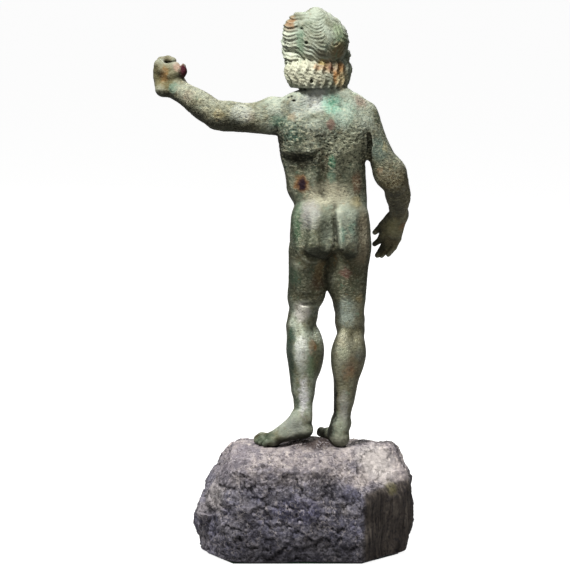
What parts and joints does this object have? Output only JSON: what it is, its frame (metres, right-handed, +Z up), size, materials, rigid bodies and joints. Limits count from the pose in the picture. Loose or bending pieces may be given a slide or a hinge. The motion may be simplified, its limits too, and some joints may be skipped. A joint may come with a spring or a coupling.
{
  "type": "roman bronze statuette",
  "caption": "Patinated bronze statuette of a nude bearded god with one arm raised, standing on a rough dark stone block with felt underneath.",
  "frame": {"origin": "middle of the felt's underside, the flat face that the object stands on", "axes": "+Z up, +Y the way the figure faces, +X towards the figure's right hand"},
  "size_m": [0.1302, 0.0781, 0.2726],
  "materials": {
    "bronze": "corroded green and brown patina, pitted, worn smoother on the calves",
    "stone": "rough broken, dark grey with pale pinkish bruises on top",
    "felt": "dark green felt"
  },
  "bodies": {
    "root": {"bronze_figure": "bronze", "stone_block": "stone", "felt_pad": "felt"}
  },
  "joints": []
}
